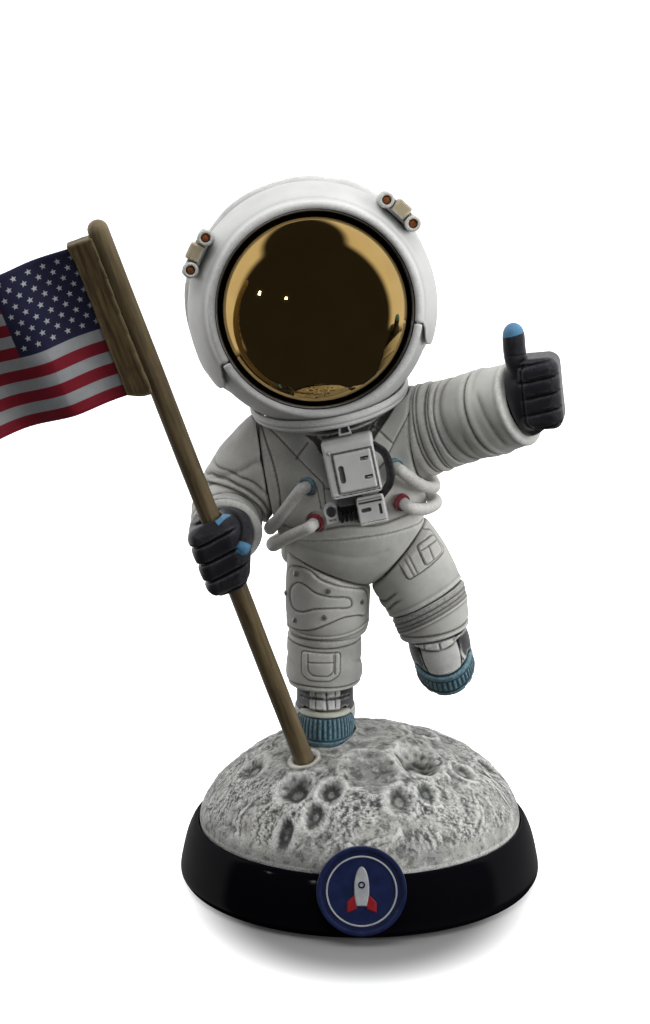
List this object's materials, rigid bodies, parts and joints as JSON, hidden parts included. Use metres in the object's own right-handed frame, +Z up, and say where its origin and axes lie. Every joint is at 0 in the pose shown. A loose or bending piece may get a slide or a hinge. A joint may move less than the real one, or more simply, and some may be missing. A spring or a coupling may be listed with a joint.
{
  "type": "action figure",
  "caption": "Large-headed astronaut display figure with a gold visor, planting a flag in a domed moon rock on a round black plinth, one thumb up and one leg raised.",
  "frame": {"origin": "centre of the foam pad's underside, which stands on the shelf", "axes": "+Z up, the figure faces -Y, and the flag stands on the -X side"},
  "size_m": [0.1599, 0.0886, 0.1678],
  "materials": {
    "suit": "matt off-white paint on cast resin",
    "trim": "satin light grey paint",
    "dark_trim": "satin dark grey paint",
    "cable": "satin black paint",
    "glove": "satin charcoal paint",
    "boot": "satin grey paint",
    "sole": "satin blue-green paint",
    "collar_blue": "gloss light blue paint",
    "collar_red": "gloss dark red paint",
    "visor": "mirror-polished gold plating",
    "gasket": "black",
    "amber": "gloss amber lacquer",
    "steel": "plain",
    "pole": "aged bronze paint",
    "flag_print": "printed stripes and stars",
    "rock": "stone-textured grey paint",
    "plinth": "gloss black",
    "foam": "closed-cell foam",
    "enamel": "dark blue enamel"
  },
  "bodies": {
    "base": {"neck_ring": "trim", "torso": "suit", "emblem": "enamel", "cuff_right": "suit", "boot_standing": "boot", "sole_standing": "sole", "foot_pin": "steel", "plinth": "plinth", "base_plate": "plinth", "base_screw_1": "steel", "base_screw_2": "steel", "base_screw_3": "steel", "base_pad": "foam", "moon_rock": "rock", "shin_standing": "suit", "thigh_standing": "suit", "pelvis": "suit", "chest_box": "trim", "lower_box": "trim", "hose_fitting": "dark_trim", "comb_connector": "cable", "side_cable": "cable", "hose_collar_right_blue": "collar_blue", "hose_right_blue": "suit", "hose_collar_right_red": "collar_red", "hose_right_red": "suit", "hose_collar_left_blue": "collar_blue", "hose_left_blue": "suit", "hose_collar_left_red": "collar_red", "hose_left_red": "suit", "backpack": "suit", "upper_arm_right": "suit", "glove_right": "glove"},
    "neck": {"neck_post": "steel"},
    "head": {"helmet_shell": "suit", "helmet_hood": "suit", "chin_guard": "suit", "visor": "visor", "visor_gasket": "gasket", "neck_socket": "steel", "lamp_pod_left": "trim", "lamp_lens_left_1": "amber", "lamp_lens_left_2": "amber", "lamp_pod_right": "trim", "lamp_lens_right_1": "amber", "lamp_lens_right_2": "amber"},
    "arm_left": {"upper_arm_left": "suit", "cuff_left": "suit", "shoulder_peg_left": "steel"},
    "hand_left": {"glove_left": "glove"},
    "leg_raised": {"thigh_raised": "suit", "shin_raised": "suit", "hip_peg": "steel"},
    "foot_raised": {"boot_raised": "boot", "sole_raised": "sole"},
    "flag": {"flag_pole": "pole", "flag_sleeve": "pole", "flag": "flag_print"}
  },
  "joints": [
    {"name": "neck_swivel", "type": "hinge", "parent": "base", "child": "neck", "pos_m": [-0.01115, -0.0023, 0.1393], "axis": [-0.1741, -0.12, 0.9774], "range_deg": [-70, 70]},
    {"name": "head_nod", "type": "hinge", "parent": "neck", "child": "head", "pos_m": [-0.01115, -0.0023, 0.1393], "axis": [0.9783, 0.0692, 0.1954], "range_deg": [-8, 2.5]},
    {"name": "shoulder_left_swivel", "type": "hinge", "parent": "base", "child": "arm_left", "pos_m": [0.0133, -0.0005, 0.1095], "axis": [0.9744, -0.2009, 0.1005], "range_deg": [-90, 90]},
    {"name": "wrist_left_swivel", "type": "hinge", "parent": "arm_left", "child": "hand_left", "pos_m": [0.0363, -0.0126, 0.119], "axis": [0.8141, -0.4611, 0.353], "range_deg": [-90, 90]},
    {"name": "hip_left_swivel", "type": "hinge", "parent": "base", "child": "leg_raised", "pos_m": [0.0091, 0, 0.081], "axis": [0.7828, 0, -0.6222], "range_deg": [-30, 30]},
    {"name": "ankle_left_swivel", "type": "hinge", "parent": "leg_raised", "child": "foot_raised", "pos_m": [0.0176, -0.0012, 0.0612], "axis": [-0.2369, -0.0237, 0.9712], "range_deg": [-25, 25]},
    {"name": "flag_pull", "type": "slide", "parent": "base", "child": "flag", "axis": [-0.3313, -0.0942, 0.9388], "range_m": [0, 0.07]}
  ]
}
